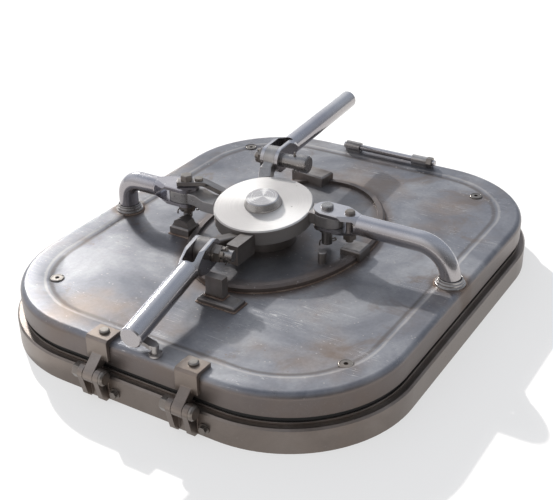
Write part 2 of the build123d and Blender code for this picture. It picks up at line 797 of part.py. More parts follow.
ear_bolt_shift = 23.0
ear_bolt_z = 11.0
with BuildPart() as ear_bolts:
    for x in hinge_places:
        place = Plane(origin=(x + ear_bolt_shift, ring_front, ear_bolt_z), x_dir=(1, 0, 0), z_dir=(0, -1, 0))
        disc(place, 6.5, 1.5)
        hexagon(place.offset(1.5), 8, 4)
finish(ear_bolts.part, "ear_bolts")

with BuildPart() as strap_screws:
    for x in hinge_places:
        disc(level(x, strap_hole_y, strap_top), 6.0, 3.2)
    chamfer(strap_screws.edges().group_by(Axis.Z)[-1], 1.4)
finish(strap_screws.part, "strap_screws")

# ---------------------------------------------------------------- rail and post on the cover

rail_z = lid_top + grab_boss_radius + 0.4
rail_end = 82.0
with BuildPart() as rail:
    disc(facing_right(grab_left - 15, grab_y, rail_z), grab_bar_radius, rail_end - grab_left + 15)
finish(rail.part, "grab_rail")

with BuildPart() as bosses:
    for x in (grab_left, grab_right):
        start = x - grab_boss_length / 2
        disc(facing_right(start, grab_y, rail_z), grab_boss_radius, grab_boss_length)
        with BuildSketch(level(x, grab_y, lid_top)) as foot:
            Rectangle(grab_boss_length, 9)
        extrude(foot.sketch, amount=3)
    for x in (grab_left, grab_right):
        bore(facing_right(x - grab_boss_length, grab_y, rail_z), grab_bar_radius + shaft_gap, 2 * grab_boss_length)
finish(bosses.part, "grab_bosses")

with BuildPart() as rail_nuts:
    place = facing_right(grab_right + grab_boss_length / 2, grab_y, rail_z)
    hexagon(place, 14, 8)
    bore(place, grab_bar_radius + shaft_gap, 8)
finish(rail_nuts.part, "grab_nut")

post_x = 21.0
post_y = lid_front + 9.0
post_radius = 4.5
tongue_top = 83.0
with BuildPart() as post:
    disc(level(post_x, post_y, lid_top), post_radius + 3, 2.5)
    disc(level(post_x, post_y, lid_top), post_radius, tongue_top - lid_top)
    with BuildSketch(level(post_x - 14, post_y + 3, tongue_top - 5)) as tongue:
        RectangleRounded(30, 11, 4, rotation=-12)
    extrude(tongue.sketch, amount=5)
finish(post.part, "rest_post")
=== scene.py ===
import json
import math
import bpy
import bmesh
from mathutils import Matrix, Vector


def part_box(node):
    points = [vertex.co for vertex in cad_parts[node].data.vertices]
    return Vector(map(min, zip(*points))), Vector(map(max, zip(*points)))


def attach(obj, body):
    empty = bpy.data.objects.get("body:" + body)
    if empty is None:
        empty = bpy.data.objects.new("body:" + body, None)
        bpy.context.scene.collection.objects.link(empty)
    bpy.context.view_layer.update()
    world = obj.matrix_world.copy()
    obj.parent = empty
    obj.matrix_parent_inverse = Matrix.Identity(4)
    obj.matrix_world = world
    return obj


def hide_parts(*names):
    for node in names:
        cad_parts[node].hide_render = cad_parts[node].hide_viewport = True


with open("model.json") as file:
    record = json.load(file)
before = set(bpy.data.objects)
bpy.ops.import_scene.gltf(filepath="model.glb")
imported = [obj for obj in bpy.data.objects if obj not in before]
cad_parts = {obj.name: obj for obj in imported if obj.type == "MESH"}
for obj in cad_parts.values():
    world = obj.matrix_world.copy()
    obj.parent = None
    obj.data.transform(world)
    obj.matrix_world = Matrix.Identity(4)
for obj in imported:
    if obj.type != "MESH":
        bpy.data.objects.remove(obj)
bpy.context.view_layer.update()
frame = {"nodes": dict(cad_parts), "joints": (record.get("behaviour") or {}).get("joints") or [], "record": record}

bodyOf = {node: body for body, nodes in frame["record"]["behaviour"]["bodies"].items() for node in nodes}
jointOf = {joint["name"]: joint for joint in frame["joints"]}
collection = bpy.context.scene.collection
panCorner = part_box("cover_pan")[1]                  # these are in metres
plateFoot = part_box("base_disc")[0][2]
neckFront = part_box("neck_wall")[0][1]
print("frame loaded,", len(bodyOf), "nodes")


# shader sums written as expressions
class Wire:
    def __init__(self, paint, socket):
        self.paint = paint
        self.socket = socket

    def __add__(self, other):
        return self.paint.maths("ADD", self, other)

    def __radd__(self, other):
        return self.paint.maths("ADD", other, self)

    def __sub__(self, other):
        return self.paint.maths("SUBTRACT", self, other)

    def __rsub__(self, other):
        return self.paint.maths("SUBTRACT", other, self)

    def __mul__(self, other):
        return self.paint.maths("MULTIPLY", self, other)

    def __rmul__(self, other):
        return self.paint.maths("MULTIPLY", other, self)

    def __pow__(self, other):
        return self.paint.maths("POWER", self, other)


class Paint:
    def __init__(self, tree):
        self.tree = tree
        tree.nodes.clear()

    def add(self, kind, settings=None, sockets=None, output=0):
        node = self.tree.nodes.new(kind)
        for name, value in (settings or {}).items():
            if name == "stops":                     # a ramp's stops: place and colour
                stops = node.color_ramp.elements
                while len(stops) < len(value):
                    stops.new(0.5)
                for stop, (place, colour) in zip(stops, value):
                    stop.position = place
                    stop.color = solid(colour)
            else:
                setattr(node, name, value)
        for key, value in (sockets or {}).items():
            if isinstance(value, Wire):
                self.tree.links.new(value.socket, node.inputs[key])
            else:
                node.inputs[key].default_value = value
        return Wire(self, node.outputs[output]) if node.outputs else None

    def maths(self, operation, first, second=0.0):
        return self.add("ShaderNodeMath", {"operation": operation}, {0: first, 1: second})

    def vector(self, operation, first, second, output="Vector"):
        return self.add("ShaderNodeVectorMath", {"operation": operation}, {0: first, 1: second}, output)

    def axis(self, spot, name):
        return self.add("ShaderNodeSeparateXYZ", {}, {0: spot}, name)

    def place(self, stretch=(1, 1, 1), turn=(0, 0, 0), shift=(0, 0, 0)):
        spot = self.add("ShaderNodeTexCoord", output="Object")
        return self.add("ShaderNodeMapping", {}, {
            "Vector": spot, "Location": shift, "Rotation": turn, "Scale": stretch})

    def noise(self, spot, scale, detail=3.0, rough=0.55, bend=0.0):
        return self.add("ShaderNodeTexNoise", {"noise_dimensions": "3D"}, {
            "Vector": spot, "Scale": scale, "Detail": detail, "Roughness": rough, "Distortion": bend})

    def cells(self, spot, scale):                   # distance to the nearest of many scattered points
        sockets = {"Vector": spot, "Scale": scale}
        return self.add("ShaderNodeTexVoronoi", {"feature": "F1"}, sockets, "Distance")

    def ramp(self, value, stops):
        return self.add("ShaderNodeValToRGB", {"stops": stops}, {0: value})

    def step(self, value, low, high):               # 0 below low, 1 above high, smooth between
        return self.add("ShaderNodeMapRange", {"interpolation_type": "SMOOTHSTEP"},
                        {"Value": value, "From Min": low, "From Max": high})

    def near(self, value, core, width):             # 1 within core of nothing, 0 beyond width
        return 1 - self.step(self.maths("ABSOLUTE", value), core, width)

    def blend(self, share, first, second, how="MIX"):
        settings = {"data_type": "RGBA", "blend_type": how}
        return self.add("ShaderNodeMix", settings, {0: share, 6: first, 7: second}, 2)

    def lowSideShade(self, start=0.2, end=0.85):         # share of a surface that faces sideways or down, which takes painted shade
        up = self.axis(self.add("ShaderNodeTexCoord", output="Normal"), "Z")
        return 1 - self.step(up, start, end)

    def fromOutline(self, edge):                    # distance out from a rounded rectangle, seen from above
        spot = self.add("ShaderNodeTexCoord", output="Object")
        across = self.maths("ABSOLUTE", self.axis(spot, "X")) - (edge["half"][0] - edge["corner"])
        along = self.maths("ABSOLUTE", self.axis(spot, "Y")) - (edge["half"][1] - edge["corner"])
        outside = (self.maths("MAXIMUM", across, 0.0) ** 2 + self.maths("MAXIMUM", along, 0.0) ** 2) ** 0.5
        inside = self.maths("MINIMUM", self.maths("MAXIMUM", across, along), 0.0)
        return outside + inside - edge["corner"]

    def relief(self, strength, depth, height):
        return self.add("ShaderNodeBump", {}, {"Strength": strength, "Distance": depth, "Height": height})

    def show(self, colour, metal, rough, surface):
        shader = self.add("ShaderNodeBsdfPrincipled", {}, {
            "Base Color": colour, "Metallic": metal, "Roughness": rough, "Normal": surface})
        self.add("ShaderNodeOutputMaterial", {}, {"Surface": shader})


def solid(colour):                                  # a colour with nothing see-through
    return tuple(colour)[:3] + (1,)


def grey(level):
    return (level, level, level)


def mm(*values):
    return tuple(value / 1000 for value in values)


def startFinish(name):
    material = bpy.data.materials.new(name)
    material.use_nodes = True
    return material, Paint(material.node_tree)


def heatTintAndShadeBands(paint, spot, colour, rough, rings):   # heat tint round a weld, and painted shade under the hub disc
    for ring in rings:
        squeeze = (1, ring.get("oval", 1), 0)
        centre = tuple(place * share for place, share in zip(ring["centre"], squeeze))
        away = paint.vector("DISTANCE", paint.place(stretch=squeeze), centre, "Value")
        ripple = (paint.noise(spot, 60, 3.0) - 0.5) * ring["ripple"]
        share = paint.near(away + ripple - ring["radius"], ring["core"], ring["width"])
        colour = paint.blend(share * ring["strength"], colour, solid(ring["colour"]))
        rough = rough + share * ring["strength"] * 0.12
    return colour, rough


def stepShadeHighlightRust(paint, spot, cloud, colour, edge):     # painted shade below the panel's step, a painted highlight along its top, and rust round the border
    away = paint.fromOutline(edge)
    wander = (paint.noise(spot, 26, 2.0) - 0.5) * edge["wander"]
    foot = paint.near(away + edge["foot"] + wander, 0.0008, 0.0045)
    crest = paint.near(away + edge["crest"] + wander, 0.0006, 0.0026)
    # painted shade at the step's foot, then a painted highlight on its crest
    colour = paint.blend(foot * (0.35 + cloud * 0.5), colour, solid(edge["footShade"]))
    colour = paint.blend(crest * cloud * 0.75, colour, solid(edge["crestHighlight"]))
    bloom = paint.step(paint.noise(paint.place(shift=(2, 8, 4)), 13, 5.0, 0.7, 0.6), 0.52, 0.66)
    rust = bloom * paint.near(away + edge["rustMiddle"], 0.0, edge["rustWidth"])
    return paint.blend(rust * 0.5, colour, solid(edge["rust"]))


scratchPlan = {
    "runs": ((0.35, 9, 1.0), (1.25, 11, 0.8), (-0.6, 13, 0.7), (2.2, 10, 0.6)),     # turn, scale, share
    "stretch": (1, 26, 26), "fine": 0.002, "wide": 0.006, "colour": grey(0.85)}


def scratches(paint, colour, rough, strength, plan):
    for turn, scale, share in plan["runs"]:
        lines = paint.noise(paint.place(stretch=plan["stretch"], turn=(0, 0, turn)), scale, 1.0, 0.4, 0.0)
        patch = paint.step(paint.noise(paint.place(shift=(turn, 0, 0)), 14, 2.0), 0.55, 0.68)
        line = paint.near(lines - 0.5, plan["fine"], plan["wide"]) * patch
        colour = paint.blend(line * strength * share, colour, solid(plan["colour"]))
        rough = rough + line * 0.1
    return colour, rough


def specks(paint, spot, colour, rough, look):       # pale nicks and small rust stains
    pick = paint.step(paint.noise(paint.place(shift=(7, 7, 7)), look["speckScale"] * 0.35, 1.0), 0.56, 0.60)
    dot = (1 - paint.step(paint.cells(spot, look["speckScale"]), 0.10, 0.20)) * pick
    colour = paint.blend(dot * look["specks"], colour, solid(look["speckColour"]))
    rough = rough + dot * 0.25
    rust = paint.cells(paint.place(shift=(0.4, 0.1, 0.7)), look["speckScale"] * 0.6)
    patch = paint.step(paint.noise(paint.place(shift=(1, 5, 2)), 22, 2.0), 0.56, 0.64)
    stain = (1 - paint.step(rust, 0.06, 0.16)) * patch
    return paint.blend(stain * look["specks"] * 0.7, colour, solid(look["stainColour"])), rough


# one metal finish; lengths in it are in metres
def steelFinish(name, **changes):
    look = {"colour": (0.33, 0.335, 0.35), "dark": (0.24, 0.245, 0.26), "light": (0.42, 0.425, 0.44),
            "warm": (0.30, 0.235, 0.19), "warmth": 0.25, "cloudScale": 6.0, "rough": 0.34,
            "roughSpread": 0.2, "grainStretch": (1, 1, 1), "grainScale": 220, "grainRough": 0.15,
            "grainShade": 0.15, "grainDepth": 0.5, "scratches": 0.0, "specks": 0.0, "speckScale": 160,
            "speckColour": (0.62, 0.60, 0.58), "stainColour": (0.24, 0.13, 0.07), "metal": 0.8,
            "side": (0.20, 0.165, 0.14), "sideShare": 0.6, "relief": 0.35, "edge": None, "tints": []}
    look.update(changes)
    material, paint = startFinish(name)
    spot = paint.place()
    cloud = paint.noise(spot, look["cloudScale"], 5.0, 0.6, 0.4)
    colour = paint.ramp(cloud, [(0.30, look["dark"]), (0.52, look["colour"]), (0.72, look["light"])])
    haze = paint.noise(paint.place(shift=(3, 1, 2)), look["cloudScale"] * 0.8, 4.0, 0.6)
    warm = paint.step(haze, 0.48, 0.72)
    colour = paint.blend(warm * look["warmth"], colour, solid(look["warm"]))
    rough = look["rough"] + (cloud - 0.5) * look["roughSpread"]
    grain = paint.noise(paint.place(stretch=look["grainStretch"]), look["grainScale"], 4.0, 0.7)
    rough = rough + (grain - 0.5) * look["grainRough"]
    shade = paint.ramp(grain, [(0.3, grey(0.35)), (0.7, grey(0.9))])
    colour = paint.blend(look["grainShade"], colour, shade, "OVERLAY")
    colour, rough = heatTintAndShadeBands(paint, spot, colour, rough, look["tints"])
    if look["edge"]:
        colour = stepShadeHighlightRust(paint, spot, cloud, colour, look["edge"])
    if look["scratches"]:
        colour, rough = scratches(paint, colour, rough, look["scratches"], scratchPlan)
    if look["specks"]:
        colour, rough = specks(paint, spot, colour, rough, look)
    side = paint.lowSideShade() * (0.6 + cloud * 0.6)    # painted shade: faces that turn sideways or down are made darker and browner
    colour = paint.blend(side * look["sideShare"], colour, solid(look["side"]))
    surface = paint.relief(look["relief"], 0.0004, grain * look["grainDepth"] + cloud * 0.3)
    paint.show(colour, look["metal"], rough, surface)
    return material


# places in metres, so that the finishes and the welds share them
hubCentre = jointOf["hub_turn"]["pos_m"]
glandCentres = [jointOf[name]["pos_m"] for name in ("right_crank_turn", "left_crank_turn")]
plateOval = {"centre": (-0.002, 0.014), "width": 0.230, "depth": 0.328}
# the panel step: colours of its painted shade and painted highlight, and where its rust lies
panelEdge = {"half": panCorner, "corner": 0.1475, "crest": 0.0305, "foot": 0.0375, "wander": 0.003,
             "rustMiddle": 0.055, "rustWidth": 0.06, "footShade": (0.115, 0.10, 0.095),
             "crestHighlight": (0.62, 0.60, 0.58), "rust": (0.21, 0.155, 0.115)}
weldTint = {"colour": (0.17, 0.115, 0.08), "ripple": 0.010, "core": 0.001}
plateTint = dict(weldTint, centre=(*plateOval["centre"], 0), oval=plateOval["width"] / plateOval["depth"])
plateTintsAndShade = [dict(plateTint, radius=0.117, width=0.014, strength=0.55),
              dict(plateTint, radius=0.105, width=0.010, strength=0.35),
              # painted shade: a brown band on the plate under the hub disc
              dict(weldTint, centre=hubCentre, radius=0.046, width=0.02, strength=0.4)]
glandTints = [dict(weldTint, centre=centre, radius=0.019, width=0.012, strength=0.65)
              for centre in glandCentres]

# in each finish the side colour and its share are painted shade on faces that turn sideways or down
finishes = {
    "cover": steelFinish(
        "cover satin", colour=(0.26, 0.27, 0.30), dark=(0.145, 0.155, 0.185), light=(0.42, 0.43, 0.455),
        metal=0.7, warmth=0.65, scratches=0.8, specks=0.6, side=(0.145, 0.108, 0.086), sideShare=0.85,
        rough=0.37, roughSpread=0.25, grainRough=0.06, cloudScale=9.0, edge=panelEdge,
        tints=plateTintsAndShade + glandTints),
    "base": steelFinish(
        "base disc", colour=(0.22, 0.225, 0.245), dark=(0.14, 0.145, 0.16), light=(0.31, 0.315, 0.33),
        metal=0.7, warmth=0.5, scratches=0.3, specks=0.6, cloudScale=14.0, tints=plateTintsAndShade),
    "bar": steelFinish(
        "polished bar", colour=(0.66, 0.67, 0.71), dark=(0.52, 0.53, 0.60), light=(0.80, 0.81, 0.83),
        warm=(0.30, 0.27, 0.33), warmth=0.35, rough=0.2, roughSpread=0.10, grainScale=300,
        grainShade=0.08, grainDepth=0.1, specks=0.15, metal=0.9, relief=0.05,
        side=(0.22, 0.185, 0.17), sideShare=0.7),
    "ring": steelFinish(
        "ring satin", colour=(0.27, 0.238, 0.218), dark=(0.17, 0.148, 0.135), light=(0.38, 0.345, 0.32),
        side=(0.20, 0.162, 0.137), warmth=0.6, cloudScale=13.0, grainStretch=(1, 1, 6), specks=0.3),
    "bracket": steelFinish(
        "bracket steel", colour=(0.30, 0.29, 0.29), dark=(0.16, 0.15, 0.145), light=(0.50, 0.49, 0.48),
        cloudScale=22.0, warmth=0.35, rough=0.4, specks=0.3),
    "stainless": steelFinish(
        "stainless bracket", colour=(0.46, 0.455, 0.455), dark=(0.30, 0.29, 0.29),
        light=(0.62, 0.615, 0.61), warmth=0.3, cloudScale=24.0, rough=0.3, specks=0.3,
        side=(0.27, 0.24, 0.22), sideShare=0.5),
    "fastener": steelFinish(
        "fastener steel", colour=(0.27, 0.255, 0.24), dark=(0.18, 0.17, 0.16), light=(0.40, 0.38, 0.36),
        warmth=0.4, rough=0.3, cloudScale=30),
    "pin": steelFinish("pin steel", colour=(0.38, 0.38, 0.385), warmth=0.1, rough=0.28, cloudScale=30),
    "weld": steelFinish(
        "weld bead", colour=(0.25, 0.19, 0.155), dark=(0.14, 0.09, 0.07), light=(0.36, 0.30, 0.26),
        warm=(0.20, 0.13, 0.09), warmth=0.6, rough=0.55, roughSpread=0.1, cloudScale=60, metal=0.55),
    "wire": steelFinish("cotter wire", colour=(0.30, 0.28, 0.26), rough=0.3, cloudScale=60),
}


# a lathe-turned face: fine rings, and a painted sheen in broad rays about the centre
def turnedFinish(look):
    material, paint = startFinish("turned face and painted sheen")
    spot = paint.place()
    middle = paint.vector("SUBTRACT", spot, hubCentre)
    flat = paint.vector("MULTIPLY", middle, (1, 1, 0))
    reach = paint.add("ShaderNodeVectorMath", {"operation": "LENGTH"}, {0: flat}, "Value")
    turn = paint.maths("ARCTAN2", paint.axis(middle, "Y"), paint.axis(middle, "X"))
    # painted sheen: the colour is lighter in broad rays about the centre
    paintedSheen = paint.maths("COSINE", turn * look["sheenLobes"] + look["sheenTurn"]) * 0.5 + 0.5
    paintedSheen = paintedSheen ** look["sheenSharp"]
    swirl = paint.add("ShaderNodeCombineXYZ", {}, {0: reach * look["ringScale"], 1: turn * 0.15, 2: 0.0})
    rings = paint.noise(swirl, 1.0, 3.0, 0.7)
    cloud = paint.noise(spot, 12, 4.0, 0.6, 0.3)
    level = paint.step(paintedSheen * 0.6 + cloud * 0.5 + (rings - 0.5) * 0.35, 0.1, 0.9)
    colour = paint.ramp(level, [(0.0, look["dark"]), (0.5, look["colour"]), (1.0, look["light"])])
    pick = paint.step(paint.noise(paint.place(shift=(4, 2, 7)), 40, 1.0), 0.62, 0.66)
    pits = (1 - paint.step(paint.cells(spot, 110), 0.08, 0.16)) * pick
    colour = paint.blend(pits * 0.6, colour, solid(look["pit"]))
    # painted shade on the faces that turn sideways or down
    colour = paint.blend(paint.lowSideShade() * 0.75, colour, solid(look["side"]))
    rough = look["rough"] + (rings - 0.5) * 0.12
    paint.show(colour, look["metal"], rough, paint.relief(0.25, 0.0001, rings))
    return material


def rubberFinish(look):
    material, paint = startFinish("black rubber")
    spot = paint.place()
    bloom = paint.noise(spot, 18, 4.0, 0.6)
    colour = paint.ramp(bloom, [(0.35, look["dark"]), (0.7, look["light"])])
    surface = paint.relief(0.3, 0.0003, paint.noise(spot, 500, 2.0))
    paint.show(colour, 0.0, look["rough"] + bloom * 0.2, surface)
    return material


finishes["turned"] = turnedFinish({
    "colour": (0.76, 0.75, 0.74), "dark": (0.52, 0.51, 0.51), "light": (0.94, 0.935, 0.93),
    "side": (0.17, 0.145, 0.13), "pit": (0.10, 0.08, 0.07), "sheenLobes": 2, "sheenTurn": 0.9, "sheenSharp": 2.0,
    "ringScale": 1400, "rough": 0.34, "metal": 0.5})
finishes["button"] = turnedFinish({
    "colour": (0.74, 0.74, 0.75), "dark": (0.50, 0.50, 0.52), "light": (0.92, 0.92, 0.92),
    "side": (0.30, 0.28, 0.26), "pit": (0.10, 0.08, 0.07), "sheenLobes": 3, "sheenTurn": 0.4, "sheenSharp": 6.0,
    "ringScale": 1400, "rough": 0.26, "metal": 0.75})
finishes["rubber"] = rubberFinish({
    "dark": (0.010, 0.010, 0.010), "light": (0.028, 0.027, 0.026), "rough": 0.55})
print("finishes ready")


def settle(piece, body, finish):              # dress a finished piece and seat it on its body
    piece.data.materials.clear()
    piece.data.materials.append(finishes[finish])
    if piece.name not in collection.objects:
        collection.objects.link(piece)
    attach(piece, body)
    return piece


def smooth(mesh, angle=30):
    mesh.shade_smooth()
    mesh.set_sharp_from_angle(angle=math.radians(angle))


edgePlan = {"segments": 2, "sharpFrom": 34, "mergeWithin": 1e-6, "flatWithin": 0.02, "evenWeight": 60}


def mergeFlats(mesh, plan):                         # loose triangles become whole faces
    mesh.attributes.remove(mesh.attributes["custom_normal"])
    work = bmesh.new()
    work.from_mesh(mesh)
    bmesh.ops.remove_doubles(work, verts=work.verts, dist=plan["mergeWithin"])
    flat = math.radians(plan["flatWithin"])
    bmesh.ops.dissolve_limit(work, angle_limit=flat, verts=work.verts, edges=work.edges)
    work.to_mesh(mesh)
    work.free()
    smooth(mesh)


def breakEdges(piece, width, plan):                 # a small bevel that catches light on every arris
    bevel = piece.modifiers.new("edge", "BEVEL")
    bevel.width = width / 1000
    bevel.segments = plan["segments"]
    bevel.limit_method = "ANGLE"
    bevel.angle_limit = math.radians(plan["sharpFrom"])
    bevel.use_clamp_overlap = True
    even = piece.modifiers.new("even", "WEIGHTED_NORMAL")
    even.keep_sharp = True
    even.weight = plan["evenWeight"]


def machined(node, finish, slot, edge):
    mesh = frame["nodes"][node].data.copy()
    piece = bpy.data.objects.new(node + "_made", mesh)
    if edge:                                        # with no broken edge, the copy keeps its exact normals
        mergeFlats(mesh, edgePlan)
    settle(piece, bodyOf[node], finish)
    if edge:
        breakEdges(piece, edge, edgePlan)
    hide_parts(node)


nodePlan = {
    # node: finish, record slot, broken edge in mm
    "cover_pan": ("cover", "cover", 0.5), "gasket_ledge": ("cover", "bracket", 0),
    "neck_wall": ("ring", "ring", 0), "neck_flange": ("ring", "ring", 0), "ring_lip": ("ring", "ring", 0.3),
    "gasket": ("rubber", "rubber", 1.2), "brace_frame": ("bracket", "bracket", 0.6),
    "base_disc": ("base", "hub", 0), "hub_disc": ("turned", "hub", 0.5),
    "hub_button": ("button", "hub", 0.3), "hub_drum": ("bracket", "bracket", 0.3),
    "spindle_nut": ("fastener", "fastener", 0.6),
    "right_bar": ("bar", "bar", 0), "left_bar": ("bar", "bar", 0),
    "front_handle": ("bar", "bar", 0), "back_handle": ("bar", "bar", 0),
    "right_lug": ("stainless", "bracket", 0.8), "left_lug": ("stainless", "bracket", 0.8),
    "front_lug": ("bracket", "bracket", 0.8), "back_lug": ("stainless", "bracket", 0.8),
    "keeper_strap": ("bracket", "bracket", 0.8), "keeper_screws": ("fastener", "fastener", 0.5),
    "rest_blocks": ("bracket", "bracket", 0.5), "rest_pillars": ("bracket", "bracket", 0.4),
    "rest_post": ("stainless", "bracket", 0.6),
    "glands": ("stainless", "bracket", 0.6), "gland_nuts": ("fastener", "fastener", 0.5),
    "right_dog": ("bracket", "bracket", 0.5), "left_dog": ("bracket", "bracket", 0.5),
    "hinge_straps": ("ring", "bracket", 2.2), "hinge_ears": ("ring", "bracket", 1.8),
    "grab_rail": ("bar", "bar", 0.4), "grab_bosses": ("stainless", "bracket", 0.6),
    "grab_nut": ("fastener", "fastener", 0.5),
    "right_pin": ("pin", "pin", 0.5), "left_pin": ("pin", "pin", 0.4), "right_collar": ("pin", "pin", 0.5),
    "front_pin": ("pin", "pin", 0.5), "back_pin": ("pin", "pin", 0.5),
}
otherNodes = ("fastener", "fastener", 0.4)
for node in sorted(bodyOf):
    machined(node, *nodePlan.get(node, otherNodes))
print("machined pieces ready")


# a Geometry Nodes tree under construction
class Rule:
    def __init__(self, name, inputs):
        self.tree = bpy.data.node_groups.new(name, "GeometryNodeTree")
        for key, kind, value in inputs:
            kind = "NodeSocket" + kind
            socket = self.tree.interface.new_socket(key, in_out="INPUT", socket_type=kind)
            if value is not None:
                socket.default_value = value
        self.tree.interface.new_socket("Geometry", in_out="OUTPUT", socket_type="NodeSocketGeometry")
        self.given = self.tree.nodes.new("NodeGroupInput").outputs

    def add(self, kind, settings=None, sockets=None, output=0):
        node = self.tree.nodes.new(kind)
        for name, value in (settings or {}).items():
            setattr(node, name, value)
        for key, value in (sockets or {}).items():
            if isinstance(value, bpy.types.NodeSocket):
                self.tree.links.new(value, node.inputs[key])
            else:
                node.inputs[key].default_value = value
        return node.outputs[output]

    def finish(self, instances):                    # real faces in the given finish
        real = self.add("GeometryNodeRealizeInstances", {}, {"Geometry": instances})
        dressed = self.add("GeometryNodeSetMaterial", {}, {
            "Geometry": real, "Material": self.given["Finish"]})
        self.tree.links.new(dressed, self.tree.nodes.new("NodeGroupOutput").inputs["Geometry"])
        return self.tree


def evaluated(source, name, angle):                 # what the source has grown into, as a plain mesh
    graph = bpy.context.evaluated_depsgraph_get()
    mesh = bpy.data.meshes.new_from_object(source.evaluated_get(graph))
    bpy.data.objects.remove(source)
    mesh.name = name
    smooth(mesh, angle)
    return bpy.data.objects.new(name, mesh)


def bakeTree(source, tree, values, name):
    collection.objects.link(source)
    modifier = source.modifiers.new("rule", "NODES")
    modifier.node_group = tree
    sockets = {item.name: item.identifier for item in tree.interface.items_tree
               if item.item_type == "SOCKET" and item.in_out == "INPUT"}
    for key, value in values.items():
        modifier[sockets[key]] = value
    return evaluated(source, name, 80)


# a chain of small beads laid along a path, as a weld looks
def beadTree(plan):
    rule = Rule("weldBead", [
        ("Geometry", "Geometry", None), ("Pitch", "Float", 0.0016), ("Width", "Float", 0.0030),
        ("Height", "Float", 0.0016), ("Seed", "Int", 3), ("Finish", "Material", None)])
    given = rule.given
    line = rule.add("GeometryNodeCurveToPoints", {"mode": "LENGTH"}, {
        "Curve": given["Geometry"], "Length": given["Pitch"]}, "Points")
    turned = line.node.outputs["Rotation"]
    ball = rule.add("GeometryNodeMeshUVSphere", {}, {
        "Segments": plan["segments"], "Rings": plan["rings"], "Radius": 1.0})
    lap = rule.add("ShaderNodeMath", {"operation": "MULTIPLY"}, {0: given["Pitch"], 1: plan["lap"]})
    size = rule.add("ShaderNodeCombineXYZ", {}, {"X": given["Width"], "Y": given["Height"], "Z": lap})
    vary = rule.add("FunctionNodeRandomValue", {"data_type": "FLOAT"}, {
        2: plan["least"], 3: plan["most"], "Seed": given["Seed"]}, 1)
    grown = rule.add("ShaderNodeVectorMath", {"operation": "SCALE"}, {0: size, "Scale": vary})
    return rule.finish(rule.add("GeometryNodeInstanceOnPoints", {}, {
        "Points": line, "Instance": ball, "Rotation": turned, "Scale": grown}))


def pathCurve(name, paths):                         # each path: points in mm, and whether it closes
    curve = bpy.data.curves.new(name, "CURVE")
    curve.dimensions = "3D"
    curve.twist_mode = "Z_UP"
    for points, closed in paths:
        spline = curve.splines.new("POLY")
        spline.points.add(len(points) - 1)
        for spot, place in zip(spline.points, points):
            spot.co = mm(*place) + (1,)
        spline.use_cyclic_u = closed
    return bpy.data.objects.new(name, curve)


def roundPath(x, y, z, wide, deep, count):
    turns = [step * math.tau / count for step in range(count)]
    return [(x + wide * math.cos(turn), y + deep * math.sin(turn), z) for turn in turns], True


def boxPath(x, y, z, width, depth, turn=0):
    face = Matrix.Rotation(math.radians(turn), 3, "Z")
    ends = [Vector((across * width / 2, rise * depth / 2, 0))
            for across, rise in ((-1, -1), (1, -1), (1, 1), (-1, 1))]
    return [tuple(Vector((x, y, z)) + face @ end) for end in ends], True


beadPlan = {"segments": 8, "rings": 6, "lap": 1.15, "least": 0.8, "most": 1.12}
coverSeams = {"lift": 0.2, "rimGap": 0.2, "rimSteps": 160, "glandRadius": 19.0, "glandSteps": 40,
              "blocks": ((-121, -52, 31, 26, 0), (20, -174, 53, 25, 0), (-52, 165, 55, 28, -8)),
              "post": (13, -172, 74.7, 25, 12),
              "pitch": 1.7, "width": 1.9, "height": 1.5, "seed": 3}
earSeams = {"places": (-51.0, 70.0), "edges": (7.4, 14.6), "low": 3, "high": 26,
            "pitch": 1.6, "width": 1.6, "height": 1.6, "seed": 8}
beads = beadTree(beadPlan)


def weld(name, paths, plan, body):
    values = {"Pitch": plan["pitch"] / 1000, "Width": plan["width"] / 1000,
              "Height": plan["height"] / 1000, "Seed": plan["seed"], "Finish": finishes["weld"]}
    seam = bakeTree(pathCurve(name + "_path", paths), beads, values, name)
    settle(seam, body, "weld")


def coverPaths(plan):
    level = plateFoot * 1000 + plan["lift"]
    x, y = (value * 1000 for value in plateOval["centre"])
    wide, deep = (plateOval[side] * 500 + plan["rimGap"] for side in ("width", "depth"))
    paths = [roundPath(x, y, level, wide, deep, plan["rimSteps"])]
    around = plan["glandRadius"]
    for x, y, z in glandCentres:
        paths.append(roundPath(x * 1000, y * 1000, level, around, around, plan["glandSteps"]))
    for x, y, width, depth, turn in plan["blocks"]:
        paths.append(boxPath(x, y, level, width, depth, turn))
    return paths + [boxPath(*plan["post"])]


def earPaths(plan):                                 # both faces of every ear plate
    front = neckFront * 1000
    paths = []
    for middle in plan["places"]:
        for side in (-1, 1):
            for edge in plan["edges"]:
                x = middle + side * edge
                paths.append(([(x, front, plan["low"]), (x, front, plan["high"])], False))
    return paths


weld("cover_welds", coverPaths(coverSeams), coverSeams, "cover")
weld("ear_welds", earPaths(earSeams), earSeams, "neck")
print("welds ready")


# screw threads: rings on a line along +Z
def threadTree(plan):
    rule = Rule("threadRings", [
        ("Pitch", "Float", 0.002), ("Radius", "Float", 0.0066), ("Wire", "Float", 0.0008),
        ("Count", "Int", 6), ("Finish", "Material", None)])
    given = rule.given
    circle = rule.add("GeometryNodeCurvePrimitiveCircle", {}, {
        "Resolution": plan["around"], "Radius": given["Radius"]})
    wire = rule.add("GeometryNodeCurvePrimitiveCircle", {}, {
        "Resolution": plan["across"], "Radius": given["Wire"]})
    ring = rule.add("GeometryNodeCurveToMesh", {}, {"Curve": circle, "Profile Curve": wire})
    step = rule.add("ShaderNodeCombineXYZ", {}, {"Z": given["Pitch"]})
    line = rule.add("GeometryNodeMeshLine", {}, {"Count": given["Count"], "Offset": step})
    return rule.finish(rule.add("GeometryNodeInstanceOnPoints", {}, {"Points": line, "Instance": ring}))


